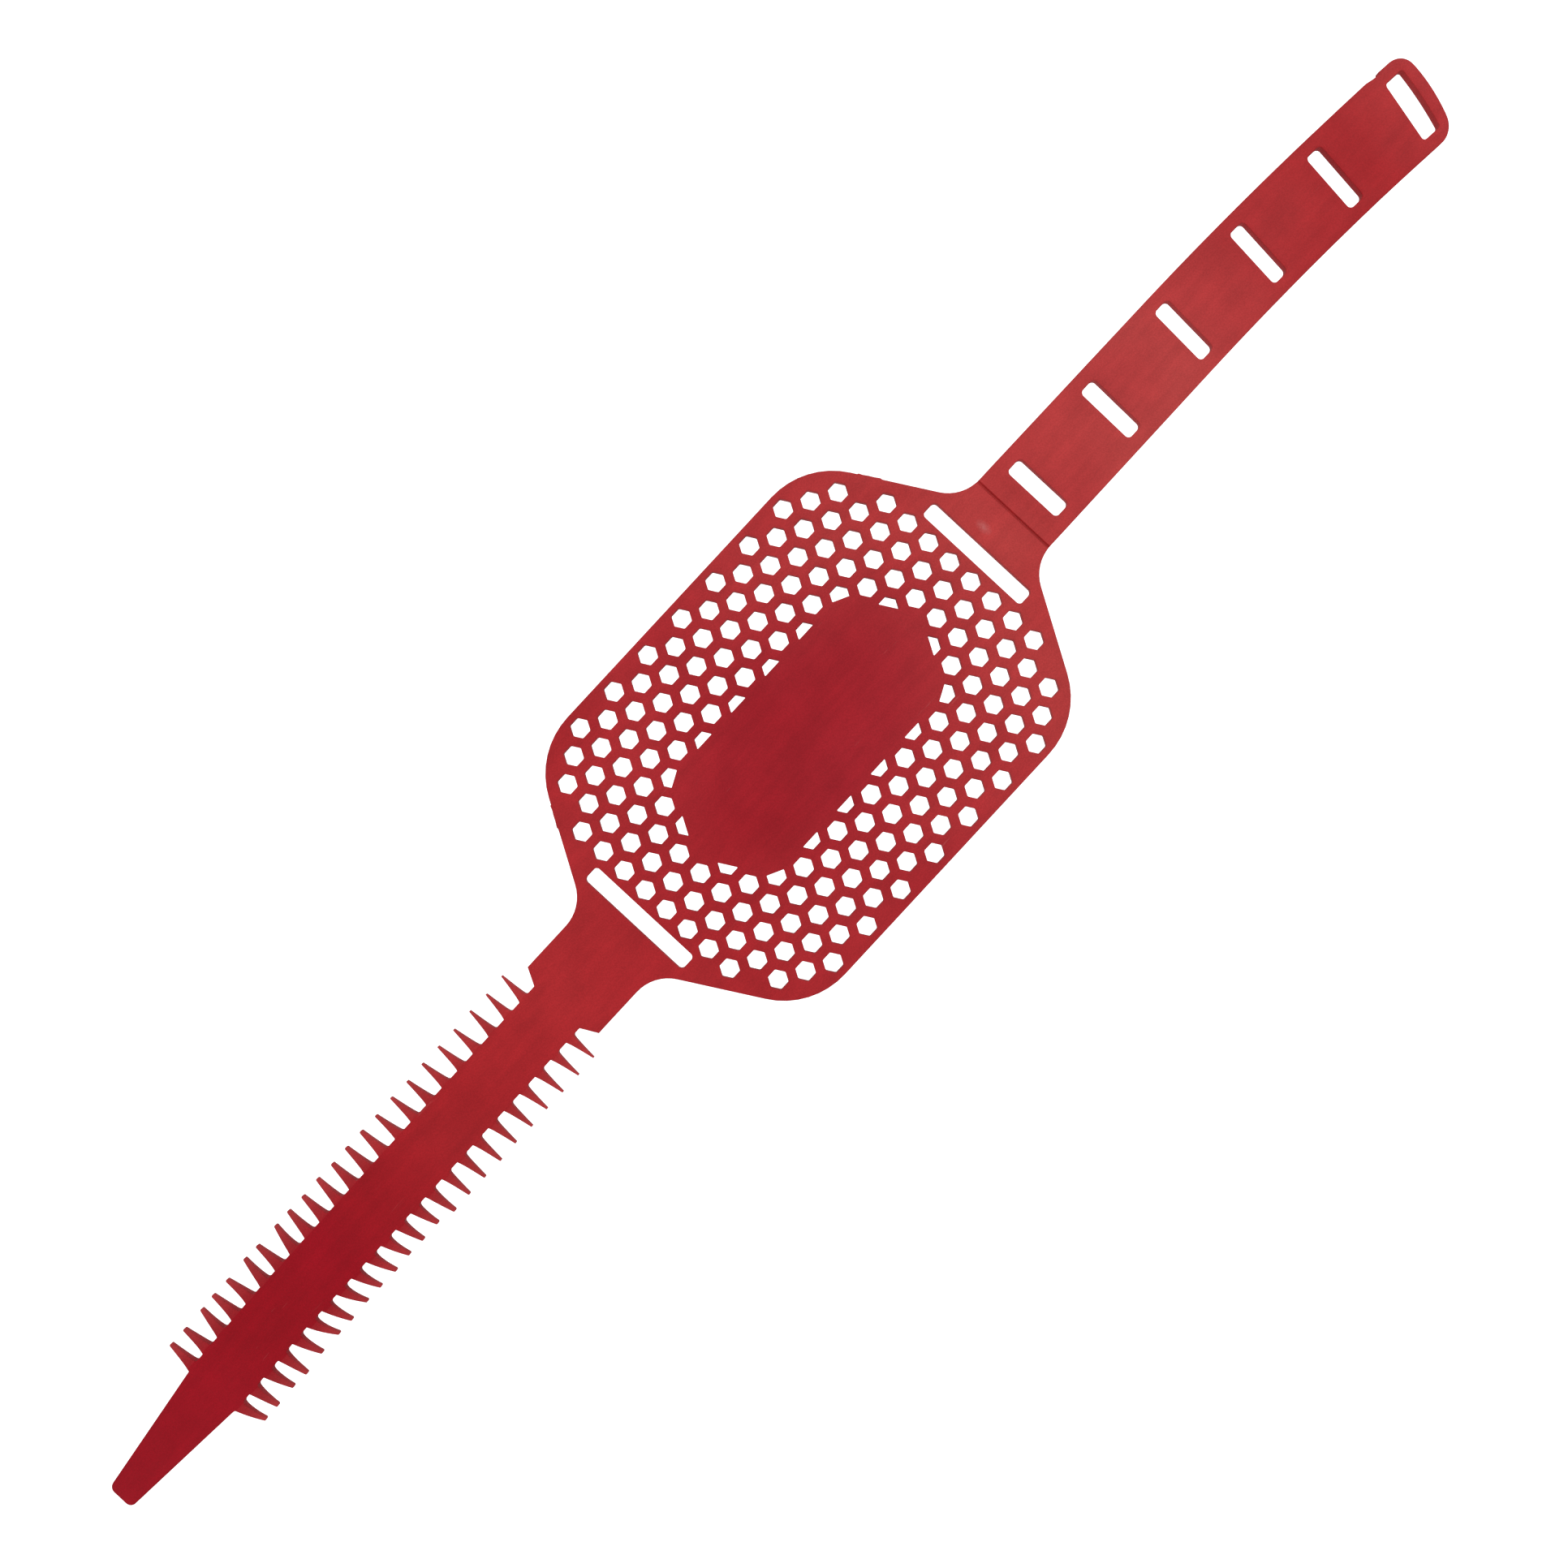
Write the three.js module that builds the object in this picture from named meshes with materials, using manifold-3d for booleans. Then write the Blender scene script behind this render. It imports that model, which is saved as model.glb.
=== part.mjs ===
// Adjustable moulded strap with a perforated pad, lying flat on its back face.
// Millimetres. +X runs along the strap to the looped end, +Y across it, +Z up out of the front face.
// The real thing is one elastomer moulding. It is divided here at the lines where it bends.
import * as THREE from "three";
import { mergeVertices } from "three/addons/utils/BufferGeometryUtils.js";
import Module from "manifold-3d";

// Sheet
const THICKNESS = 3;
const FLEX_GAP = 0.3;

// Pad
const PAD_HALF_WIDTH = 49;
const PAD_CORNER_X = 51.2;
const PAD_CORNER_RADIUS = 21.6;
const NECK_HALF_WIDTH = 12.6;
const NECK_CORNER_X = 72.5;
const NECK_RADIUS = 11;

// Hexagonal openings in the pad, on a staggered grid, points along X
const HEX_ACROSS_FLATS = 4.8;
const HEX_COLUMN_PITCH = 6.45;
const HEX_ROW_PITCH = 7.45;
const HEX_COLUMNS = 9;
const HEX_ROWS = 6;
const HEX_EDGE_MARGIN = 4.2;

// Solid panel in the middle of the pad
const PANEL_HALF_WIDTH = 2.5 * HEX_ROW_PITCH;
const PANEL_CORNER_X = 5 * HEX_COLUMN_PITCH;
const PANEL_POINT_X = PANEL_CORNER_X + PANEL_HALF_WIDTH / Math.sqrt(3);
const PANEL_CORNER_RADIUS = 6;

// Long slots at the two necks
const NECK_SLOT_X = 64.4;
const NECK_SLOT_LENGTH = 34.5;
const NECK_SLOT_WIDTH = 4.7;
const NECK_SLOT_RADIUS = 1.2;

// Strap: recessed band, five short slots, end loop
const BAND_START_X = 78;
const BAND_LENGTH = 4.7;
const BAND_DEPTH = 0.3;
const STRAP_SLOTS = 5;
const STRAP_SLOT_FROM_BAND = 9.2;
const STRAP_SLOT_PITCH = 27.8;
const STRAP_SLOT_LENGTH = 17.7;
const STRAP_SLOT_WIDTH = 5;
const STRAP_SLOT_RADIUS = 1;
const STRAP_END_HALF_WIDTH = 12.1;
const STRAP_END_RADIUS = 5.2;
const STRAP_END_BULGE = 1.5;
const LOOP_SLOT_FROM_LAST = 25.4;
const LOOP_SLOT_WIDTH = 5.4;
const LOOP_SLOT_BULGE = 2;
const LOOP_SLOT_LENGTH = 17;
const LOOP_END_BAR = 5;

// Barbed tail
const TAIL_CREASE_X = -88.5;
const TAIL_SHOULDER_X = -93.4;
const TAIL_SHOULDER_LENGTH = 2.4;
const CORE_HALF_WIDTH = 8;
const TEETH = 23;
const SHARP_TEETH = 9;
const TOOTH_FROM_SHOULDER = 4.8;
const SHARP_TOOTH_PITCH = 5.98;
const BLUNT_TOOTH_PITCH = 5.7;
const SHARP_TOOTH_BASE = 2.8;
const BLUNT_TOOTH_BASE = 3.2;
const TOOTH_LENGTH = 8.15;
const TOOTH_RAKE = 0.55;
const SHARP_TOOTH_POINT = 0.5;
const BLUNT_TOOTH_POINT = 1.3;
const TOOTH_ROOT = 0.6;
const TIP_LENGTH = 36.5;

// The set it lies with: the ends stray sideways, towards -Y
const TAIL_SET_START_X = -90;
const TAIL_SET_SLOPE = 0.0085;
const TIP_SET_START_X = -202;
const TIP_SET_SLOPE = 0.031;
const STRAP_SET_START_X = 140;
const STRAP_SET_CURVE = 0.00044;
const TIP_END_HALF_WIDTH = 3.8;
const TIP_RADIUS = 1.9;

// Places that follow from the sizes above
const slotX = (i) => BAND_START_X + STRAP_SLOT_FROM_BAND + i * STRAP_SLOT_PITCH;
function toothX(i) {
  const sharp = Math.min(i, SHARP_TEETH) * SHARP_TOOTH_PITCH;
  const blunt = Math.max(i - SHARP_TEETH, 0) * BLUNT_TOOTH_PITCH;
  return TAIL_SHOULDER_X - TOOTH_FROM_SHOULDER - sharp - blunt;
}
const toothBase = (i) => (i < SHARP_TEETH ? SHARP_TOOTH_BASE : BLUNT_TOOTH_BASE);
// The middle of the notch on the tip side of a tooth.
const notchX = (i) => (toothX(i) - toothBase(i) + toothX(i + 1)) / 2;
const loopSlotX = slotX(STRAP_SLOTS - 1) + LOOP_SLOT_FROM_LAST;
const strapEndX = loopSlotX + LOOP_SLOT_WIDTH + LOOP_END_BAR;
const tipStartX = toothX(TEETH - 1) - BLUNT_TOOTH_BASE;
const tipEndX = tipStartX - TIP_LENGTH;

// How far each kind of flex line bends each way, in degrees
const PAD_FLEX = 12;
const CREASE_FLEX = 40;
const STRAP_FLEX = 30;
const TAIL_FLEX = 18;

const PAD_FLEX_COLUMN = 6.5;
const TEETH_ON_FIRST_LINK = 3;
const TEETH_PER_LINK = 2;
const ARC_STEP = 12;

const wasm = await Module();
wasm.setup();

const radians = (degrees) => (degrees * Math.PI) / 180;

// A closed outline with each corner [x, y, radius] rounded.
function rounded(corners) {
  const outline = [];
  corners.forEach(([x, y, radius], i) => {
    const corner = new THREE.Vector2(x, y);
    if (!radius) {
      outline.push(corner);
      return;
    }
    const before = corners.at(i - 1);
    const after = corners[(i + 1) % corners.length];
    const back = new THREE.Vector2(before[0], before[1]).sub(corner).normalize();
    const ahead = new THREE.Vector2(after[0], after[1]).sub(corner).normalize();
    const half = Math.acos(THREE.MathUtils.clamp(back.dot(ahead), -1, 1)) / 2;
    const inward = back.clone().add(ahead).normalize();
    const centre = corner.clone().addScaledVector(inward, radius / Math.sin(half));
    const tangent = radius / Math.tan(half);
    const start = corner.clone().addScaledVector(back, tangent).sub(centre);
    const turn = Math.PI - 2 * half;
    const side = Math.sign(back.cross(ahead)) || 1;
    const steps = Math.max(2, Math.ceil(turn / radians(ARC_STEP)));
    for (let s = 0; s <= steps; s += 1) {
      const point = start.clone().rotateAround(new THREE.Vector2(), (-side * turn * s) / steps);
      outline.push(point.add(centre));
    }
  });
  return outline;
}

// A box outline with round corners, centred at x on the strap's axis.
function slotOutline(x, alongX, alongY, radius) {
  const a = alongX / 2;
  const b = alongY / 2;
  return rounded([
    [x - a, -b, radius],
    [x + a, -b, radius],
    [x + a, b, radius],
    [x - a, b, radius],
  ]);
}

// A solid from a geometry.
function solidOf(geometry) {
  const bare = geometry.index ? geometry.toNonIndexed() : geometry;
  bare.deleteAttribute("normal");
  bare.deleteAttribute("uv");
  const merged = mergeVertices(bare, 1e-4);
  return new wasm.Manifold(
    new wasm.Mesh({
      numProp: 3,
      vertProperties: merged.attributes.position.array,
      triVerts: new Uint32Array(merged.index.array),
    }),
  );
}

// A flat prism between two heights.
function prism(outline, low, high) {
  const geometry = new THREE.ExtrudeGeometry(new THREE.Shape(outline), {
    depth: high - low,
    bevelEnabled: false,
  });
  return solidOf(geometry.translate(0, 0, low));
}

// A tool that passes right through the sheet.
const through = (outline) => prism(outline, -1, THICKNESS + 1);

// A bulged edge that crosses the strap from one side to the other.
function bulgedEdge(x, halfLength, bulge, steps) {
  const edge = [];
  for (let s = 0; s <= steps; s += 1) {
    const across = (2 * s) / steps - 1;
    edge.push([x - bulge * across * across, across * halfLength]);
  }
  return edge;
}

// Pad, necks, tail core and strap in one outline
const lowerSide = [
  [tipEndX, -TIP_END_HALF_WIDTH, TIP_RADIUS],
  [tipStartX, -CORE_HALF_WIDTH, 0],
  [TAIL_SHOULDER_X - TAIL_SHOULDER_LENGTH, -CORE_HALF_WIDTH, 0],
  [TAIL_SHOULDER_X, -NECK_HALF_WIDTH, 0],
  [-NECK_CORNER_X, -NECK_HALF_WIDTH, NECK_RADIUS],
  [-PAD_CORNER_X, -PAD_HALF_WIDTH, PAD_CORNER_RADIUS],
  [PAD_CORNER_X, -PAD_HALF_WIDTH, PAD_CORNER_RADIUS],
  [NECK_CORNER_X, -NECK_HALF_WIDTH, NECK_RADIUS],
  [BAND_START_X + BAND_LENGTH, -NECK_HALF_WIDTH, 0],
  [strapEndX - STRAP_END_BULGE, -STRAP_END_HALF_WIDTH, STRAP_END_RADIUS],
];
const endEdge = bulgedEdge(strapEndX, STRAP_END_HALF_WIDTH - STRAP_END_RADIUS, STRAP_END_BULGE / 3, 6);
const upperSide = lowerSide.map(([x, y, radius]) => [x, -y, radius]).reverse();
let sheet = prism(rounded([...lowerSide, ...endEdge.map(([x, y]) => [x, y, 0]), ...upperSide]), 0, THICKNESS);

// Teeth, a pair at each pitch, their catching side square to the tail
for (let i = 0; i < TEETH; i += 1) {
  const x = toothX(i);
  const point = i < SHARP_TEETH ? SHARP_TOOTH_POINT : BLUNT_TOOTH_POINT;
  const root = CORE_HALF_WIDTH - TOOTH_ROOT;
  const tip = CORE_HALF_WIDTH + TOOTH_LENGTH;
  for (const side of [-1, 1]) {
    const tooth = [
      [x, side * root, 0],
      [x, side * CORE_HALF_WIDTH, 0],
      [x - TOOTH_RAKE, side * tip, 0],
      [x - TOOTH_RAKE - point, side * tip, 0],
      [x - toothBase(i), side * CORE_HALF_WIDTH, 0],
      [x - toothBase(i), side * root, 0],
    ];
    sheet = sheet.add(prism(rounded(tooth), 0, THICKNESS));
  }
}

// Long slots, strap slots, end loop and recessed band
for (const side of [-1, 1]) {
  const outline = slotOutline(side * NECK_SLOT_X, NECK_SLOT_WIDTH, NECK_SLOT_LENGTH, NECK_SLOT_RADIUS);
  sheet = sheet.subtract(through(outline));
}
for (let i = 0; i < STRAP_SLOTS; i += 1) {
  const x = slotX(i);
  sheet = sheet.subtract(through(slotOutline(x, STRAP_SLOT_WIDTH, STRAP_SLOT_LENGTH, STRAP_SLOT_RADIUS)));
}
const loopHalf = LOOP_SLOT_LENGTH / 2;
const loopOuter = bulgedEdge(loopSlotX + LOOP_SLOT_WIDTH, loopHalf, LOOP_SLOT_BULGE, 8);
const loopInner = [
  [loopSlotX, loopHalf, STRAP_SLOT_RADIUS],
  [loopSlotX, -loopHalf, STRAP_SLOT_RADIUS],
];
sheet = sheet.subtract(through(rounded([...loopOuter.map(([x, y]) => [x, y, 0]), ...loopInner])));
sheet = sheet.subtract(
  solidOf(
    new THREE.BoxGeometry(BAND_LENGTH, 4 * NECK_HALF_WIDTH, 2 * BAND_DEPTH).translate(
      BAND_START_X + BAND_LENGTH / 2,
      0,
      THICKNESS,
    ),
  ),
);

// Hexagonal openings, left solid inside the panel
const panel = rounded([
  [-PANEL_POINT_X, 0, 0],
  [-PANEL_CORNER_X, -PANEL_HALF_WIDTH, PANEL_CORNER_RADIUS],
  [PANEL_CORNER_X, -PANEL_HALF_WIDTH, PANEL_CORNER_RADIUS],
  [PANEL_POINT_X, 0, 0],
  [PANEL_CORNER_X, PANEL_HALF_WIDTH, PANEL_CORNER_RADIUS],
  [-PANEL_CORNER_X, PANEL_HALF_WIDTH, PANEL_CORNER_RADIUS],
]);
const padEdge = rounded([
  [-NECK_CORNER_X, -NECK_HALF_WIDTH, 0],
  [-PAD_CORNER_X, -PAD_HALF_WIDTH, PAD_CORNER_RADIUS],
  [PAD_CORNER_X, -PAD_HALF_WIDTH, PAD_CORNER_RADIUS],
  [NECK_CORNER_X, -NECK_HALF_WIDTH, 0],
  [NECK_CORNER_X, NECK_HALF_WIDTH, 0],
  [PAD_CORNER_X, PAD_HALF_WIDTH, PAD_CORNER_RADIUS],
  [-PAD_CORNER_X, PAD_HALF_WIDTH, PAD_CORNER_RADIUS],
  [-NECK_CORNER_X, NECK_HALF_WIDTH, 0],
]);

// How far a point lies inside the edge of the pad.
function insideBy(x, y) {
  let nearest = Infinity;
  const point = new THREE.Vector3(x, y, 0);
  padEdge.forEach((corner, i) => {
    const next = padEdge[(i + 1) % padEdge.length];
    const from = new THREE.Vector3(corner.x, corner.y, 0);
    const line = new THREE.Line3(from, new THREE.Vector3(next.x, next.y, 0));
    const foot = line.closestPointToPoint(point, true, new THREE.Vector3());
    nearest = Math.min(nearest, foot.distanceTo(point));
  });
  return nearest;
}

const panelSolid = through(panel);
const slotGuard = NECK_SLOT_X - NECK_SLOT_WIDTH / 2 - HEX_ACROSS_FLATS / 2;
for (let column = -HEX_COLUMNS; column <= HEX_COLUMNS; column += 1) {
  const x = column * HEX_COLUMN_PITCH;
  const shift = column % 2 ? 0.5 : 0;
  for (let row = -HEX_ROWS - shift; row <= HEX_ROWS; row += 1) {
    const y = row * HEX_ROW_PITCH;
    if (Math.abs(y) > PAD_HALF_WIDTH - HEX_EDGE_MARGIN + 0.01 || insideBy(x, y) < HEX_EDGE_MARGIN) {
      continue;
    }
    if (Math.abs(x) > slotGuard) {
      continue;
    }
    const hexagon = [];
    for (let k = 0; k < 6; k += 1) {
      const reach = HEX_ACROSS_FLATS / Math.sqrt(3);
      hexagon.push([x + reach * Math.cos(radians(60 * k)), y + reach * Math.sin(radians(60 * k)), 0]);
    }
    const opening = through(rounded(hexagon)).subtract(panelSolid);
    if (opening.volume() > THICKNESS) {
      sheet = sheet.subtract(opening);
    }
  }
}

// Flex lines from the tail tip to the strap end, with how far each bends
const padFlexX = PAD_FLEX_COLUMN * HEX_COLUMN_PITCH;
const lines = [{ x: TAIL_CREASE_X, flex: CREASE_FLEX, name: "pad_tail_side" }];
lines.push({ x: -padFlexX, flex: PAD_FLEX, name: "pad_centre" });
lines.push({ x: padFlexX, flex: PAD_FLEX, name: "pad_strap_side" });
lines.push({ x: BAND_START_X, flex: CREASE_FLEX, name: "strap_link_1" });
for (let i = 1; i < STRAP_SLOTS + 1; i += 1) {
  const x = slotX(i - 0.5);
  const name = i < STRAP_SLOTS ? "strap_link_" + (i + 1) : "end_loop";
  lines.push({ x, flex: STRAP_FLEX, name });
}
const tailLinks = 1 + (TEETH - TEETH_ON_FIRST_LINK) / TEETH_PER_LINK;
for (let i = 0; i < tailLinks; i += 1) {
  const last = TEETH_ON_FIRST_LINK + i * TEETH_PER_LINK - 1;
  lines.unshift({ x: notchX(last), flex: TAIL_FLEX, name: "tail_link_" + (i + 1) });
}

// The side view of one link, its ends relieved in a V so that they close up when bent.
function sideView(low, high) {
  const middle = THICKNESS / 2;
  const relief = (line) => middle * Math.tan(radians(line.flex / 2));
  const start = low ? low.x + FLEX_GAP / 2 : tipEndX - 1;
  const end = high ? high.x - FLEX_GAP / 2 : strapEndX + 1;
  const startFace = low ? start + relief(low) : start;
  const endFace = high ? end - relief(high) : end;
  const view = [
    [startFace, 0],
    [endFace, 0],
  ];
  if (high) {
    view.push([end, middle]);
  }
  view.push([endFace, THICKNESS], [startFace, THICKNESS]);
  if (low) {
    view.push([start, middle]);
  }
  return view;
}

// How far the strap has strayed sideways at x.
function setAt(x) {
  const tail = Math.max(TAIL_SET_START_X - x, 0) * TAIL_SET_SLOPE;
  const tip = Math.max(TIP_SET_START_X - x, 0) * TIP_SET_SLOPE;
  const strapRun = Math.max(x - STRAP_SET_START_X, 0);
  return -tail - tip - STRAP_SET_CURVE * strapRun * strapRun;
}

// One named link cut from the sheet.
function link(name, low, high, colour) {
  const view = sideView(low, high).map(([x, z]) => new THREE.Vector2(x, z));
  const reach = PAD_HALF_WIDTH + 1;
  const mask = new THREE.ExtrudeGeometry(new THREE.Shape(view), { depth: 2 * reach, bevelEnabled: false });
  mask.rotateX(Math.PI / 2).translate(0, reach, 0);
  const mesh = sheet.intersect(solidOf(mask)).getMesh();
  const geometry = new THREE.BufferGeometry();
  const positions = new Float32Array(mesh.numVert * 3);
  for (let i = 0; i < mesh.numVert; i += 1) {
    const from = i * mesh.numProp;
    const [x, y, z] = mesh.vertProperties.subarray(from, from + 3);
    positions.set([x, y + setAt(x), z], i * 3);
  }
  geometry.setAttribute("position", new THREE.BufferAttribute(positions, 3));
  geometry.setIndex(new THREE.BufferAttribute(mesh.triVerts, 1));
  geometry.computeVertexNormals();
  const material = new THREE.MeshStandardMaterial({ color: colour, roughness: 0.55 });
  const made = new THREE.Mesh(geometry, material);
  made.name = name;
  return made;
}

const strap = new THREE.Group();
strap.name = "adjustable_strap";
strap.add(link("tail_tip", null, lines[0], "#93181f"));
lines.forEach((line, i) => {
  strap.add(link(line.name, line, lines[i + 1], i % 2 ? "#93181f" : "#a3282c"));
});

export default strap;
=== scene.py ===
import math

import bmesh
import bpy
from mathutils import Matrix, Vector


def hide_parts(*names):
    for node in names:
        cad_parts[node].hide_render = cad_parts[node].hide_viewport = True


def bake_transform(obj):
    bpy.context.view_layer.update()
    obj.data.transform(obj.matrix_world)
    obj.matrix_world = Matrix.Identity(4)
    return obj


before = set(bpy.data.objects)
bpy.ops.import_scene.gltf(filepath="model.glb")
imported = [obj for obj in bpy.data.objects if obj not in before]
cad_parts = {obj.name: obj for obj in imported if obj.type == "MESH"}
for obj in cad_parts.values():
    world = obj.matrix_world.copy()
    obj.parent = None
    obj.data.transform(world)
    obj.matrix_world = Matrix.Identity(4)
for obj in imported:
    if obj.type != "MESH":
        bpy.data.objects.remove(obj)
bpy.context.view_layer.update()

# Camera. Straight above the strap, turned so that the strap runs up to the right.
# The whole length fits, with the tail tip at the lower left.
STRAP_SLOPE = math.radians(47.18)
CAMERA_HEIGHT = 0.45
VIEW_CENTRE_X, VIEW_CENTRE_Y = -0.0134, -0.0039
LENS_MM, SENSOR_MM = 39.65, 36
camera_data = bpy.data.cameras.new("overhead_camera")
camera_data.lens = LENS_MM
camera_data.sensor_width = SENSOR_MM
camera = bpy.data.objects.new("overhead_camera", camera_data)
camera.location = (VIEW_CENTRE_X, VIEW_CENTRE_Y, CAMERA_HEIGHT)
camera.rotation_euler = (0, 0, -STRAP_SLOPE)
bpy.context.scene.collection.objects.link(camera)
bpy.context.scene.camera = camera

# Floor and light. A plain white floor, far enough below that both ends can bend down past the
# pad, under an even pale sky and four wide soft lamps. It throws no light back on the moulding.
FLOOR_SIZE = 40
FLOOR_DROP = 0.25
SKY_STRENGTH = 0.5
floor_mesh = bpy.data.meshes.new("white_floor")
floor_corners = []
for across, up in ((-0.5, -0.5), (0.5, -0.5), (0.5, 0.5), (-0.5, 0.5)):
    floor_corners.append((across * FLOOR_SIZE, up * FLOOR_SIZE, -FLOOR_DROP))
floor_mesh.from_pydata(floor_corners, [], [(0, 1, 2, 3)])
floor = bpy.data.objects.new("white_floor", floor_mesh)
bpy.context.scene.collection.objects.link(floor)
floor_paint = bpy.data.materials.new("white_floor_paint")
floor_paint.use_nodes = True
floor_shader = floor_paint.node_tree.nodes["Principled BSDF"]
floor_shader.inputs["Base Color"].default_value = (0.6, 0.6, 0.6, 1)
floor_shader.inputs["Roughness"].default_value = 0.9
floor_shader.inputs["Specular IOR Level"].default_value = 0.1
floor_shader.inputs["Emission Color"].default_value = (1, 1, 1, 1)
floor_shader.inputs["Emission Strength"].default_value = 1.0
floor_mesh.materials.append(floor_paint)
floor.visible_diffuse = False
floor.visible_glossy = False
floor.visible_shadow = False

sky = bpy.data.worlds.new("studio")
sky.use_nodes = True
sky.node_tree.nodes["Background"].inputs["Color"].default_value = (1, 1, 1, 1)
sky.node_tree.nodes["Background"].inputs["Strength"].default_value = SKY_STRENGTH
bpy.context.scene.world = sky
bpy.context.scene.view_settings.view_transform = "Standard"


def soft_lamp(name, place, size, power):
    """A square lamp that faces the middle of the pad; size in metres, power in watts."""
    lamp = bpy.data.lights.new(name, "AREA")
    lamp.shape = "SQUARE"
    lamp.size = size
    lamp.energy = power
    holder = bpy.data.objects.new(name, lamp)
    holder.location = place
    holder.rotation_euler = (-Vector(place)).to_track_quat("-Z", "Y").to_euler()
    bpy.context.scene.collection.objects.link(holder)


soft_lamp("lamp_strap_end", (1.1, 0.25, 1.1), 0.9, 4.8)
soft_lamp("lamp_tail_end", (-1.3, -0.2, 1.1), 1.2, 2.2)
soft_lamp("lamp_upper_side", (-0.1, 1.4, 1.3), 1.2, 2.8)
soft_lamp("lamp_lower_side", (0.2, -1.4, 1.2), 1.2, 2.2)

# The moulding. One sheet of red elastomer, 3 mm thick, poured or injected in a single flat
# mould, so its pad, strap and tail have no seams. All its free edges are a little rounded.
MM = 0.001
THICKNESS = 3.0
EDGE_ROUND = 0.2
EDGE_STEPS = 3
PAD_HALF_WIDTH = 49
NECK_HALF_WIDTH = 12.6
PAD_CORNER_X, PAD_CORNER_ROUND = 51.2, 21.6
NECK_CORNER_X, NECK_ROUND = 72.5, 11
STRAP_START, STRAP_END = 82.7, 232.8
STRAP_END_HALF_WIDTH, STRAP_END_ROUND, STRAP_END_BULGE = 12.1, 5.2, 1.5
SHOULDER_X, SHOULDER_SLOPE, CORE_HALF_WIDTH = -93.4, 2.4, 8.0
SHOULDER_FILLET, SHOULDER_ROUND = 0.3, 0.4
TEETH, SHARP_TEETH, FIRST_TOOTH, TOOTH_LENGTH = 23, 9, -98.2, 8.0
SHARP_PITCH, SHARP_BASE, SHARP_POINT, SHARP_SWING = 5.98, 2.7, 0.35, 1.0
BLUNT_PITCH, BLUNT_BASE, BLUNT_POINT, BLUNT_SWING = 5.7, 3.0, 0.95, 1.5
UPPER_SHIFT, TIP_SIDE_FILLET, PAD_SIDE_FILLET = -0.6, 0.2, 0.7
TOOTH_STEPS, FLANK_CURVE, POINT_GROWTH, POINT_ROUND = 6, 0.75, 0.04, 0.42
LENGTH_CHANGE, LENGTH_WAVE = 0.12, 3.7
TIP_START, TIP_END, TIP_HALF_WIDTH, TIP_ROUND = -229.7, -265.8, 3.8, 1.9
# How far the point of each barb leans towards the pad, and how much of it has worn off, from the
# barb nearest the pad to the last. The barbs that have caught most often lean and wear the most.
LEAN_UPPER = [0.45, 0.2, 0.1, -0.3, -0.3, -0.4, -0.4, -0.4, -0.5, 0.0, 0.0, 0.2, 0.4, 0.2, 0.6]
LEAN_UPPER += [1.3, -0.2, 0.9, -0.6, -0.3, 0.8, -0.4, 0.1]
LEAN_LOWER = [0.55] * SHARP_TEETH
LEAN_LOWER += [1.0, 1.3, 1.35, 1.85, 2.1, 2.1, 2.6, 2.1, 2.9, 2.0, 0.95, 1.8, 1.1, 2.1]
WORN_LOWER = [0] * 10 + [0.9, 1.0, 0.9, 0.7, 0.9, 0.75, 0.7, 0.5, 0.6, 0.1, 0.4, 0.5, 0.3]


def rounded(corners, step=math.radians(8)):
    """The outline with each corner (x, y, radius) rounded."""
    outline = []
    for i, (x, y, radius) in enumerate(corners):
        corner = Vector((x, y))
        if not radius:
            outline.append(corner)
            continue
        back = (Vector(corners[i - 1][:2]) - corner).normalized()
        ahead = (Vector(corners[(i + 1) % len(corners)][:2]) - corner).normalized()
        half = back.angle(ahead) / 2
        centre = corner + (back + ahead).normalized() * radius / math.sin(half)
        start = corner + back * radius / math.tan(half) - centre
        turn = math.pi - 2 * half
        side = 1 if back.x * ahead.y - back.y * ahead.x > 0 else -1
        steps = max(2, math.ceil(turn / step))
        for s in range(steps + 1):
            angle = -side * turn * s / steps
            c, n = math.cos(angle), math.sin(angle)
            turned = Vector((start.x * c - start.y * n, start.x * n + start.y * c))
            outline.append(centre + turned)
    return outline


def tooth_start(i):
    """Where tooth i begins on its pad side."""
    sharp, blunt = min(i, SHARP_TEETH), max(i - SHARP_TEETH, 0)
    return FIRST_TOOTH - sharp * SHARP_PITCH - blunt * BLUNT_PITCH


def tooth_base(i):
    """How wide tooth i is at the core."""
    return SHARP_BASE if i < SHARP_TEETH else BLUNT_BASE


def tooth(i, side):
    """One barb, from its tip side to its pad side, narrower and bent over towards its point."""
    base = tooth_base(i)
    middle = tooth_start(i) - base / 2 + (UPPER_SHIFT if side > 0 else 0)
    lean = (LEAN_UPPER if side > 0 else LEAN_LOWER)[i]
    if i < SHARP_TEETH:
        swing, point = SHARP_SWING, SHARP_POINT + POINT_GROWTH * i
    else:
        swing, point = BLUNT_SWING, BLUNT_POINT
    worn = WORN_LOWER[i] if side < 0 else 0
    rise = TOOTH_LENGTH + LENGTH_CHANGE * math.sin(LENGTH_WAVE * i + side) - worn
    tip_flank, pad_flank = [], []
    for s in range(TOOTH_STEPS + 1):
        h = s / TOOTH_STEPS
        bend = lean * h**swing
        half = (base + (point - base) * h**FLANK_CURVE) / 2
        y = side * (CORE_HALF_WIDTH + rise * h)
        tip_corner = pad_corner = 0
        if s == 0:
            tip_corner, pad_corner = TIP_SIDE_FILLET, PAD_SIDE_FILLET
        elif s == TOOTH_STEPS:
            tip_corner = pad_corner = point * POINT_ROUND
        tip_flank.append((middle + bend - half, y, tip_corner))
        pad_flank.append((middle + bend + half, y, pad_corner))
    return tip_flank + pad_flank[::-1]


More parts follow.
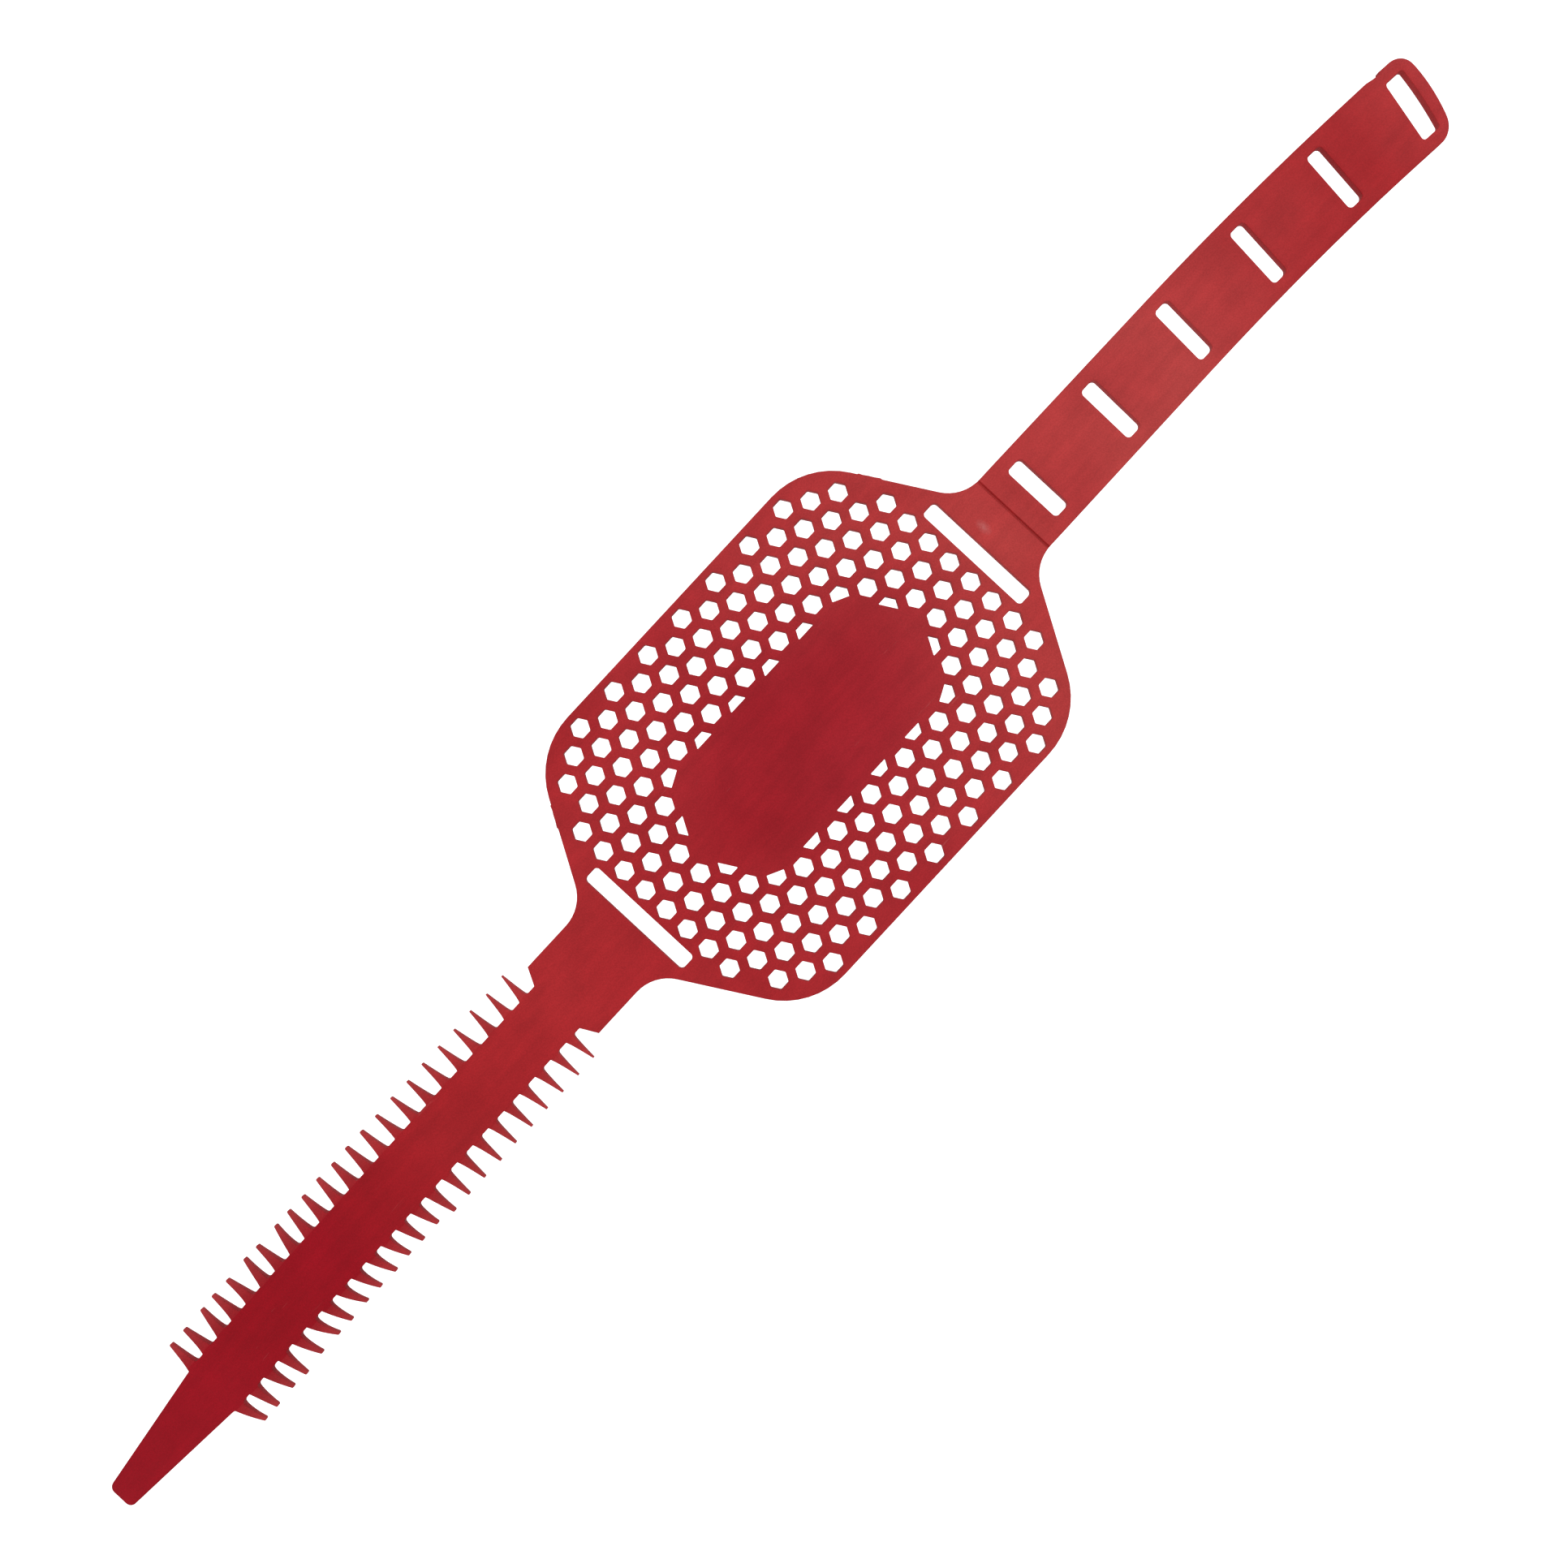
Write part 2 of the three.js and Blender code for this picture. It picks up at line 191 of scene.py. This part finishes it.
TIP_STEP_IN = 0.2
upper_edge = [(TIP_END, TIP_HALF_WIDTH, TIP_ROUND), (TIP_START, CORE_HALF_WIDTH - TIP_STEP_IN, 0)]
lower_edge = [(x, -y, r) for x, y, r in upper_edge]
for i in reversed(range(TEETH)):
    upper_edge += tooth(i, 1)
    lower_edge += tooth(i, -1)

# A torn thread of flash is left on the upper flanks, where the two halves of the mould met, and
# the strap has a small nick. Each pair is a distance and how far the edge stands out there; the
# flash is measured along the flank from the pad corner, the nick along the strap.
FLANK_FLASH = [(14.2, 0), (14.5, 0.24), (15.6, 0.12), (17.1, 0.2)]
FLANK_FLASH += [(18.6, 0.16), (20.3, 0.27), (20.9, 0)]
STRAP_NICK = [(219.5, 0), (221.5, -0.35), (223.5, -0.55), (223.8, 0.05), (224.4, 0)]
flank = Vector((NECK_CORNER_X - PAD_CORNER_X, NECK_HALF_WIDTH - PAD_HALF_WIDTH)).normalized()


def flash(end):
    """The flash on the flank at one end of the pad, from the pad corner outwards."""
    points = []
    for run, proud in FLANK_FLASH:
        x = PAD_CORNER_X + flank.x * run - flank.y * proud
        y = PAD_HALF_WIDTH + flank.y * run + flank.x * proud
        points.append((end * x, y, 0))
    return points


strap_nick = [(x, STRAP_END_HALF_WIDTH + out, 0) for x, out in STRAP_NICK]
for edge, side in ((upper_edge, 1), (lower_edge, -1)):
    edge += [
        (SHOULDER_X - SHOULDER_SLOPE, side * CORE_HALF_WIDTH, SHOULDER_FILLET),
        (SHOULDER_X, side * NECK_HALF_WIDTH, SHOULDER_ROUND),
        (-NECK_CORNER_X, side * NECK_HALF_WIDTH, NECK_ROUND),
        *(flash(-1)[::-1] if side > 0 else []),
        (-PAD_CORNER_X, side * PAD_HALF_WIDTH, PAD_CORNER_ROUND),
        (PAD_CORNER_X, side * PAD_HALF_WIDTH, PAD_CORNER_ROUND),
        *(flash(1) if side > 0 else []),
        (NECK_CORNER_X, side * NECK_HALF_WIDTH, NECK_ROUND),
        (STRAP_START, side * NECK_HALF_WIDTH, 0),
        *(strap_nick if side > 0 else []),
        (STRAP_END - STRAP_END_BULGE, side * STRAP_END_HALF_WIDTH, STRAP_END_ROUND),
    ]
bulge_half = STRAP_END_HALF_WIDTH - STRAP_END_ROUND
END_STEPS = 8
end_edge = []
for s in range(END_STEPS + 1):
    across = 2 * s / END_STEPS - 1
    end_edge.append((STRAP_END - STRAP_END_BULGE / 3 * across**2, across * bulge_half, 0))
outer_edge = rounded(lower_edge + end_edge + upper_edge[::-1])

# The openings, all cut clear through by pins in the mould: two long slots where the pad meets
# the necks, five short slots and a D-shaped one in the strap, and the honeycomb of the pad.
LONG_SLOT_X, LONG_SLOT_ALONG, LONG_SLOT_ACROSS, LONG_SLOT_ROUND = 64.4, 4.7, 34.5, 1.2
SHORT_SLOTS, SHORT_SLOT_FIRST, SHORT_SLOT_PITCH = 5, 87.6, 27.8
SHORT_SLOT_ALONG, SHORT_SLOT_ACROSS, SHORT_SLOT_ROUND = 5.0, 17.4, 1.25
LOOP_SLOT_X, LOOP_SLOT_WIDTH, LOOP_SLOT_HALF, LOOP_SLOT_BULGE = 223.3, 6.1, 8.65, 0.4
LOOP_SLOT_ROUND, LOOP_SLOT_FAR_ROUND, LOOP_SLOT_STEPS = 1, 0.8, 10
HEX_SIDES, HEX_FLATS, HEX_ROUND, CUT_HEX_ROUND = 6, 4.8, 0.45, 0.2
COLUMN_PITCH, ROW_PITCH, HEX_COLUMNS, HEX_ROWS = 6.45, 7.45, 9, 6
HEX_MARGIN, MARGIN_SLACK = 4.2, 0.01
SMALLEST_OPENING, HEX_ROUNDING_STEP = 0.6, math.radians(30)
PANEL_HALF_WIDTH, PANEL_CORNER_X, PANEL_ROUND = 2.5 * ROW_PITCH, 5 * COLUMN_PITCH, 6
PANEL_POINT_X = PANEL_CORNER_X + PANEL_HALF_WIDTH / math.sqrt(3)


def slot_outline(x, along, across, radius):
    """A slot with its middle at x."""
    a, b = along / 2, across / 2
    corners = [(x - a, -b), (x + a, -b), (x + a, b), (x - a, b)]
    return rounded([(*corner, radius) for corner in corners])


def clipped(shape, point, normal):
    """The part of a convex shape on the side of a line that its normal points to."""
    kept = []
    for i, here in enumerate(shape):
        before = shape[i - 1]
        d0, d1 = (before - point).dot(normal), (here - point).dot(normal)
        if (d0 > 0) != (d1 > 0):
            kept.append(before.lerp(here, d0 / (d0 - d1)))
        if d1 > 0:
            kept.append(here)
    return kept


def area(shape):
    """The area of an outline, which is negative where it runs clockwise."""
    return sum(shape[i - 1].x * p.y - p.x * shape[i - 1].y for i, p in enumerate(shape)) / 2


def edge_distance(point, outline):
    """How far a point is from the nearest place on an outline."""
    nearest = math.inf
    for i, b in enumerate(outline):
        a = outline[i - 1]
        along = b - a
        share = min(max((point - a).dot(along) / max(along.length_squared, 1e-9), 0), 1)
        nearest = min(nearest, (a + along * share - point).length)
    return nearest


pad_corners = [
    (PAD_CORNER_X, PAD_HALF_WIDTH, PAD_CORNER_ROUND),
    (NECK_CORNER_X, NECK_HALF_WIDTH, 0),
]
pad_edge = rounded(
    [(-x, -y, r) for x, y, r in pad_corners[::-1]]
    + [(x, -y, r) for x, y, r in pad_corners]
    + [(x, y, r) for x, y, r in pad_corners[::-1]]
    + [(-x, y, r) for x, y, r in pad_corners]
)
panel_edge = rounded(
    [
        (-PANEL_POINT_X, 0, 0),
        (-PANEL_CORNER_X, -PANEL_HALF_WIDTH, PANEL_ROUND),
        (PANEL_CORNER_X, -PANEL_HALF_WIDTH, PANEL_ROUND),
        (PANEL_POINT_X, 0, 0),
        (PANEL_CORNER_X, PANEL_HALF_WIDTH, PANEL_ROUND),
        (-PANEL_CORNER_X, PANEL_HALF_WIDTH, PANEL_ROUND),
    ]
)
openings = []
for column in range(-HEX_COLUMNS, HEX_COLUMNS + 1):
    for half_row in range(-2 * HEX_ROWS, 2 * HEX_ROWS + 1):
        if (half_row + column) % 2:
            continue
        centre = Vector((column * COLUMN_PITCH, half_row / 2 * ROW_PITCH))
        if abs(centre.y) > PAD_HALF_WIDTH - HEX_MARGIN + MARGIN_SLACK:
            continue
        if edge_distance(centre, pad_edge) < HEX_MARGIN:
            continue
        reach = HEX_FLATS / math.sqrt(3)
        shape = []
        for k in range(HEX_SIDES):
            angle = k * math.pi / 3
            shape.append(centre + Vector((math.cos(angle), math.sin(angle))) * reach)
        outward = []
        for i, b in enumerate(panel_edge):
            along = b - panel_edge[i - 1]
            if along.length > 1e-6:
                normal = Vector((along.y, -along.x)).normalized()
                outward.append(((centre - b).dot(normal), b, normal))
        distance, on_edge, normal = max(outward, key=lambda o: o[0])
        if distance < reach:
            shape = clipped(shape, on_edge, normal)
        if len(shape) < 3 or area(shape) < SMALLEST_OPENING:
            continue
        radius = HEX_ROUND if len(shape) == HEX_SIDES else CUT_HEX_ROUND
        openings.append(rounded([(p.x, p.y, radius) for p in shape], HEX_ROUNDING_STEP))
for side in (-1, 1):
    openings.append(
        slot_outline(side * LONG_SLOT_X, LONG_SLOT_ALONG, LONG_SLOT_ACROSS, LONG_SLOT_ROUND)
    )
for i in range(SHORT_SLOTS):
    x = SHORT_SLOT_FIRST + i * SHORT_SLOT_PITCH
    openings.append(slot_outline(x, SHORT_SLOT_ALONG, SHORT_SLOT_ACROSS, SHORT_SLOT_ROUND))
loop_outline = [(LOOP_SLOT_X, y, LOOP_SLOT_ROUND) for y in (LOOP_SLOT_HALF, -LOOP_SLOT_HALF)]
for s in range(LOOP_SLOT_STEPS + 1):
    across = 2 * s / LOOP_SLOT_STEPS - 1
    x = LOOP_SLOT_X + LOOP_SLOT_WIDTH - LOOP_SLOT_BULGE * across**2
    radius = LOOP_SLOT_FAR_ROUND if abs(across) == 1 else 0
    loop_outline.append((x, across * LOOP_SLOT_HALF, radius))
openings.append(rounded(loop_outline))

SHARPEST_MITRE = 0.5


def sheet_mould(outer, holes):
    """The whole sheet in millimetres: flat faces, rounded edges, straight walls."""
    bm = bmesh.new()
    profile = []
    for s in range(EDGE_STEPS + 1):
        a = s / EDGE_STEPS * math.pi / 2
        profile.append((EDGE_ROUND * (1 - math.sin(a)), EDGE_ROUND * (1 - math.cos(a))))
    profile += [(inset, THICKNESS - z) for inset, z in reversed(profile)]
    rims = ([], [])
    for outline, sign in [(outer, 1)] + [(hole, -1) for hole in holes]:
        if area(outline) * sign < 0:
            outline = outline[::-1]
        count = len(outline)
        inward = []
        for i, p in enumerate(outline):
            a = (p - outline[i - 1]).normalized()
            b = (outline[(i + 1) % count] - p).normalized()
            na, nb = Vector((-a.y, a.x)), Vector((-b.y, b.x))
            inward.append((na + nb) / max(1 + na.dot(nb), SHARPEST_MITRE))
        rings = []
        for inset, z in profile:
            rings.append([bm.verts.new((*(p + n * inset), z)) for p, n in zip(outline, inward)])
        for low, high in zip(rings, rings[1:]):
            for i in range(count):
                bm.faces.new((low[i - 1], low[i], high[i], high[i - 1]))
        for rim, ring in zip(rims, (rings[0], rings[-1])):
            rim += [bm.edges.get((ring[i - 1], ring[i])) for i in range(count)]
    for rim in rims:
        bmesh.ops.triangle_fill(bm, edges=rim, use_beauty=True)
    bmesh.ops.recalc_face_normals(bm, faces=bm.faces)
    return bm


moulding = sheet_mould(outer_edge, openings)

# The elastomer. Deep red right through, semi-matte, with a fine grain from the mould, cloudy
# mottling where it cooled slowly, painted sheen that makes it brighter and pinker towards the
# strap, painted shade on the tail and the pad's middle, and pale scuffs from use.
elastomer = bpy.data.materials.new("red_elastomer")
elastomer.use_nodes = True
nodes, links = elastomer.node_tree.nodes, elastomer.node_tree.links
shader = nodes["Principled BSDF"]
shader.inputs["IOR"].default_value = 1.48
shader.inputs["Specular IOR Level"].default_value = 0.15
place = nodes.new("ShaderNodeTexCoord").outputs["Object"]


def cloud(scale, detail=2.0, stretch=(1, 1, 1), roughness=0.5):
    """Seamless mottling; scale is in waves per metre."""
    turned = nodes.new("ShaderNodeMapping")
    turned.inputs["Scale"].default_value = stretch
    links.new(place, turned.inputs["Vector"])
    noise = nodes.new("ShaderNodeTexNoise")
    noise.inputs["Scale"].default_value = scale
    noise.inputs["Detail"].default_value = detail
    noise.inputs["Roughness"].default_value = roughness
    links.new(turned.outputs["Vector"], noise.inputs["Vector"])
    return noise.outputs["Fac"]


def ramp(value, *stops):
    """Colours or levels along a value."""
    made = nodes.new("ShaderNodeValToRGB")
    elements = made.color_ramp.elements
    while len(elements) < len(stops):
        elements.new(0.5)
    for element, (position, colour) in zip(elements, stops):
        element.position = position
        element.color = (*colour, 1) if isinstance(colour, tuple) else (colour, colour, colour, 1)
    links.new(value, made.inputs["Fac"])
    return made.outputs["Color"]


def mixed(share, first, second, blend="MIX"):
    """Two colours mixed; each value is a node's output, a colour or a number."""
    made = nodes.new("ShaderNodeMix")
    made.data_type = "RGBA"
    made.blend_type = blend
    sockets = (made.inputs[0], made.inputs[6], made.inputs[7])
    for value, socket in zip((share, first, second), sockets):
        if isinstance(value, bpy.types.NodeSocket):
            links.new(value, socket)
        elif isinstance(value, tuple):
            socket.default_value = (*value, 1)
        else:
            socket.default_value = value
    return made.outputs[2]


def maths(operation, *values):
    """One sum; each value is a node's output or a number."""
    made = nodes.new("ShaderNodeMath")
    made.operation = operation
    for value, socket in zip(values, made.inputs):
        if isinstance(value, bpy.types.NodeSocket):
            links.new(value, socket)
        else:
            socket.default_value = value
    return made.outputs[0]


def oval_distance(x, y, along, across):
    """The distance from (x, y), in metres, as a share of an oval's two half lengths."""
    oval = nodes.new("ShaderNodeMapping")
    oval.inputs["Location"].default_value = (-x / along, -y / across, 0)
    oval.inputs["Scale"].default_value = (1 / along, 1 / across, 0)
    links.new(place, oval.inputs["Vector"])
    length = nodes.new("ShaderNodeVectorMath")
    length.operation = "LENGTH"
    links.new(oval.outputs["Vector"], length.inputs[0])
    return length.outputs["Value"]


# The red changes along the moulding, from the tip's end to the strap's end. Its levels also hold
# painted light: painted sheen makes the strap's first stretches brighter and pinker, and painted
# shade makes the tail darker.
RED_FROM_X, RED_TO_X = -0.266, 0.234
split = nodes.new("ShaderNodeSeparateXYZ")
links.new(place, split.inputs[0])
along = nodes.new("ShaderNodeMapRange")
along.inputs["From Min"].default_value = RED_FROM_X
along.inputs["From Max"].default_value = RED_TO_X
links.new(split.outputs["X"], along.inputs["Value"])
red_with_painted_light = ramp(
    along.outputs[0],
    (0.0, (0.428, 0.0041, 0.0150)),
    (0.17, (0.412, 0.0025, 0.0124)),
    (0.25, (0.474, 0.0150, 0.0215)),
    (0.34, (0.528, 0.0223, 0.0280)),
    (0.53, (0.520, 0.0275, 0.0350)),
    (0.68, (0.580, 0.0510, 0.0510)),
    (0.80, (0.592, 0.0570, 0.0570)),
    (0.87, (0.545, 0.0370, 0.0400)),
    (0.95, (0.490, 0.0200, 0.0250)),
    (1.0, (0.550, 0.0400, 0.0430)),
)
# Painted shade: the pad is darker towards the middle of its solid panel.
PAINTED_SHADE_ALONG, PAINTED_SHADE_ACROSS = 0.062, 0.036
from_middle = oval_distance(0, 0, PAINTED_SHADE_ALONG, PAINTED_SHADE_ACROSS)
painted_panel_shade = ramp(from_middle, (0.45, (0.85, 0.50, 0.70)), (1.0, (1.0, 1.0, 1.0)))
red_with_painted_light = mixed(1.0, red_with_painted_light, painted_panel_shade, "MULTIPLY")
# Painted sheen: broad pinker and darker patches, like gloss lying unevenly over the sheet.
painted_sheen_patches = ramp(cloud(26, 1), (0.35, (0.97, 0.86, 0.90)), (0.65, (1.03, 1.14, 1.10)))
red_with_painted_light = mixed(1.0, red_with_painted_light, painted_sheen_patches, "MULTIPLY")
# The barbs are paler to their points, where bending has whitened them. The core's middle line
# drifts off the pad's as the tail takes its set.
BARBS_FROM_X, CORE_EDGE, BARB_POINT = -0.0955, 0.0083, 0.017
CORE_DRIFT_SLOPE, CORE_DRIFT_AT_PAD = -0.0135, -0.0012
PALE_BARB_RED = (0.62, 0.085, 0.085)
drift = maths("MULTIPLY_ADD", split.outputs["X"], CORE_DRIFT_SLOPE, CORE_DRIFT_AT_PAD)
off_core = maths("ABSOLUTE", maths("ADD", split.outputs["Y"], drift))
barb_share = ramp(maths("MULTIPLY", off_core, 1 / BARB_POINT), (0.50, 0.12), (0.95, 0.55))
on_tail = maths("LESS_THAN", split.outputs["X"], BARBS_FROM_X)
beyond_core = maths("GREATER_THAN", off_core, CORE_EDGE)
barb_share = maths("MULTIPLY", maths("MULTIPLY", barb_share, on_tail), beyond_core)
red_with_painted_light = mixed(barb_share, red_with_painted_light, PALE_BARB_RED)
# Cloudy mottling, faint streaks along the sheet, the mould's grain, and scuffs.
SCUFF_RED, SCUFF_STRENGTH = (0.62, 0.17, 0.16), 0.28
mottle = ramp(cloud(120, 3), (0.32, 0.93), (0.68, 1.06))
red = mixed(1.0, red_with_painted_light, mottle, "MULTIPLY")
streaks = ramp(cloud(420, 2, (0.12, 1, 1)), (0.35, 0.95), (0.7, 1.05))
red = mixed(1.0, red, streaks, "MULTIPLY")
grain_spots = ramp(cloud(2600, 1), (0.3, 0.9), (0.7, 1.08))
red = mixed(1.0, red, grain_spots, "MULTIPLY")
scuff_band = ramp(cloud(900, 4, (0.08, 1, 1), 0.7), (0.66, 0.0), (0.74, 1.0))
scuff_places = ramp(cloud(45, 1), (0.52, 0.0), (0.66, 1.0))
scuffs = maths("MULTIPLY", maths("MULTIPLY", scuff_band, scuff_places), SCUFF_STRENGTH)
red = mixed(scuffs, red, SCUFF_RED)
# One small rubbed spot lies on the neck, just before the strap's groove.
RUB_X, RUB_Y, RUB_ALONG, RUB_ACROSS = 0.0705, 0.0034, 0.0016, 0.0028
RUBBED_RED = (0.72, 0.34, 0.33)
rubbed = ramp(oval_distance(RUB_X, RUB_Y, RUB_ALONG, RUB_ACROSS), (0.1, 0.5), (1.0, 0.0))
red = mixed(maths("MULTIPLY", rubbed, cloud(1300, 2)), red, RUBBED_RED)
links.new(red, shader.inputs["Base Color"])
# The gloss is uneven, and duller where it is scuffed, over a very fine bump.
ROUGHNESS_LEAST, ROUGHNESS_CLOUDS, ROUGHNESS_GRAIN, ROUGHNESS_SCUFFS = 0.36, 0.22, 0.08, 0.5
roughness = maths("MULTIPLY_ADD", cloud(160, 3), ROUGHNESS_CLOUDS, ROUGHNESS_LEAST)
roughness = maths("ADD", roughness, maths("MULTIPLY", cloud(1900, 1), ROUGHNESS_GRAIN))
roughness = maths("ADD", roughness, maths("MULTIPLY", scuffs, ROUGHNESS_SCUFFS))
links.new(roughness, shader.inputs["Roughness"])
GRAIN_HEIGHT, RIPPLE_HEIGHT, SCUFF_DEPTH = 0.5, 1.6, 0.8
grain = maths("MULTIPLY", cloud(2400, 2), GRAIN_HEIGHT)
grain = maths("ADD", grain, maths("MULTIPLY", cloud(230, 2), RIPPLE_HEIGHT))
grain = maths("SUBTRACT", grain, maths("MULTIPLY", scuffs, SCUFF_DEPTH))
bump = nodes.new("ShaderNodeBump")
bump.inputs["Strength"].default_value = 0.35
bump.inputs["Distance"].default_value = 0.00012
links.new(grain, bump.inputs["Height"])
links.new(bump.outputs["Normal"], shader.inputs["Normal"])

# The pad and necks, cut out of the moulding as two halves at the middle. Each half gets extra
# cross loops at its flex line, and the halves and every later piece meet face to face inside
# stiff material. The strap and the tail have both taken a sideways set from storage.
TAIL_SET_START, TAIL_SET_SLOPE, TIP_SET_START, TIP_SET_SLOPE = -90, 0.0085, -202, 0.031
STRAP_SET_START, STRAP_SET_CURVE = 140, 0.00052
STRAP_SKEW = [(100, 0.0), (143, 0.05), (171, 0.085), (205, 0.11), (222, 0.22), (240, 0.28)]
TAIL_CREASE, STRAP_GROOVE = -88.5, 78.0
FREE_THICKNESS, THINNING_CURVE = 0.5, 0.8
LOOP_SPACING, FEWEST_LOOPS, SHARP_EDGE = 1.2, 8, math.radians(32)
# Each pair is a distance along the moulding and how far the front face is sunk there: a faint
# crease before the shoulder, a sharp groove at the strap, and the band that rises out of it.
RELIEF = [(-90.1, 0), (-88.7, 0.12), (-88.3, 0.12), (-86.9, 0)]
RELIEF += [(77.7, 0), (77.95, 0.95), (78.4, 0.95), (78.7, 0.34), (82.5, 0.14), (82.9, 0)]


def level(pairs, x):
    """The value at x, on straight lines between pairs of a place and a value."""
    for (x0, v0), (x1, v1) in zip(pairs, pairs[1:]):
        if x0 <= x <= x1:
            return v0 + (v1 - v0) * (x - x0) / (x1 - x0)
    return 0


def lying(x, y):
    """Where a point of the straight moulding lies, with the set that its two ends have taken."""
    tail = max(TAIL_SET_START - x, 0) * TAIL_SET_SLOPE
    tail += max(TIP_SET_START - x, 0) * TIP_SET_SLOPE
    strap = STRAP_SET_CURVE * max(x - STRAP_SET_START, 0) ** 2
    return x + level(STRAP_SKEW, x) * y, y - tail - strap


def flexing_piece(name, low, high, line, reach, nodes_replaced, extra_loops=()):
    """The stretch of moulding from low to high, with cross loops spread over reach either side of
    line, where two bodies meet.
    """
    bend_loops = max(FEWEST_LOOPS, round(2 * reach / LOOP_SPACING))
    loops = [line - reach + 2 * reach * s / bend_loops for s in range(bend_loops + 1)]
    bm = moulding.copy()
    for cut, normal in ((low, 1), (high, -1)):
        if cut is None:
            continue
        cut_result = bmesh.ops.bisect_plane(
            bm,
            geom=bm.verts[:] + bm.edges[:] + bm.faces[:],
            dist=1e-5,
            plane_co=(cut, 0, 0),
            plane_no=(normal, 0, 0),
            clear_inner=True,
        )
        rim = [e for e in cut_result["geom_cut"] if isinstance(e, bmesh.types.BMEdge)]
        bmesh.ops.edgeloop_fill(bm, edges=rim)
    for loop in loops + list(extra_loops):
        bmesh.ops.bisect_plane(
            bm,
            geom=bm.verts[:] + bm.edges[:] + bm.faces[:],
            dist=1e-4,
            plane_co=(loop, 0, 0),
            plane_no=(1, 0, 0),
        )
    half = THICKNESS / 2
    for v in bm.verts:
        if v.co.z > half:
            v.co.z -= level(RELIEF, v.co.x) * (v.co.z - half) / half
        if v.co.x < SHOULDER_X:
            out = min(max((abs(v.co.y) - CORE_HALF_WIDTH) / TOOTH_LENGTH, 0), 1)
            thinned = 1 + (FREE_THICKNESS - 1) * out**THINNING_CURVE
            v.co.z = half + (v.co.z - half) * thinned
        v.co.x, v.co.y = lying(v.co.x, v.co.y)
    bmesh.ops.triangulate(bm, faces=bm.faces[:])
    bmesh.ops.recalc_face_normals(bm, faces=bm.faces)
    mesh = bpy.data.meshes.new(name)
    bm.to_mesh(mesh)
    bm.free()
    mesh.transform(Matrix.Scale(MM, 4))
    mesh.shade_smooth()
    mesh.set_sharp_from_angle(angle=SHARP_EDGE)
    mesh.materials.append(elastomer)
    piece = bpy.data.objects.new(name, mesh)
    bpy.context.scene.collection.objects.link(piece)
    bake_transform(piece)
    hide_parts(*nodes_replaced)


PAD_FLEX = 6.5 * COLUMN_PITCH
PAD_REACH = 12
flexing_piece(
    "pad_half_strap_side",
    0,
    LONG_SLOT_X,
    PAD_FLEX,
    PAD_REACH,
    ["pad_centre"],
)
flexing_piece(
    "pad_half_tail_side",
    -LONG_SLOT_X,
    0,
    -PAD_FLEX,
    PAD_REACH,
    ["pad_centre"],
)

# The strap. It starts at a pressed groove and a shallow sunk band, then carries five slots for
# the barbs to catch in. Each piece runs from the middle of one slot to the middle of the next.
GROOVE_REACH, STRAP_REACH = 4.5, 12.5
groove_loops = [x for x, depth in RELIEF if x > 0]
flexing_piece(
    "strap_neck",
    LONG_SLOT_X,
    SHORT_SLOT_FIRST,
    STRAP_GROOVE,
    GROOVE_REACH,
    ["pad_strap_side"],
    groove_loops,
)
for i in range(1, SHORT_SLOTS):
    middle_of_slot = SHORT_SLOT_FIRST + i * SHORT_SLOT_PITCH
    flexing_piece(
        f"strap_stretch_{i}",
        middle_of_slot - SHORT_SLOT_PITCH,
        middle_of_slot,
        middle_of_slot - SHORT_SLOT_PITCH / 2,
        STRAP_REACH,
        [f"strap_link_{i}"],
    )
flexing_piece(
    "strap_end",
    SHORT_SLOT_FIRST + (SHORT_SLOTS - 1) * SHORT_SLOT_PITCH,
    None,
    SHORT_SLOT_FIRST + (SHORT_SLOTS - 0.5) * SHORT_SLOT_PITCH,
    STRAP_REACH,
    [f"strap_link_{SHORT_SLOTS}", "end_loop"],
)

# The barbed tail, of the same moulding. A plain core with 23 pairs of thin barbs on its edges,
# which fold to pass through a slot and catch behind it, then a bare tapered tip to lead it in.
# Each piece runs from the middle of one notch between barbs to the middle of the next but one.
TEETH_ON_FIRST, TEETH_PER_LINK = 3, 2
CREASE_REACH, TAIL_REACH = 6, 5
TAIL_LINKS = 1 + (TEETH - TEETH_ON_FIRST) // TEETH_PER_LINK


def notch_after(i):
    """The middle of the notch on the tip side of tooth i."""
    return (tooth_start(i) - tooth_base(i) + tooth_start(i + 1)) / 2


crease_loops = [x for x, depth in RELIEF if x < 0]
tail_neck_end = notch_after(0)
flexing_piece(
    "tail_neck",
    tail_neck_end,
    -LONG_SLOT_X,
    TAIL_CREASE,
    CREASE_REACH,
    ["pad_tail_side"],
    crease_loops,
)
previous = tail_neck_end
for i in range(1, TAIL_LINKS + 1):
    last_tooth = TEETH_ON_FIRST + (i - 1) * TEETH_PER_LINK - 1
    is_tip = i == TAIL_LINKS
    far = None if is_tip else notch_after(last_tooth + 1)
    flexing_piece(
        "tail_tip_piece" if is_tip else f"tail_stretch_{i}",
        far,
        previous,
        notch_after(last_tooth),
        TAIL_REACH,
        [f"tail_link_{i}"] + (["tail_tip"] if is_tip else []),
    )
    previous = far
moulding.free()
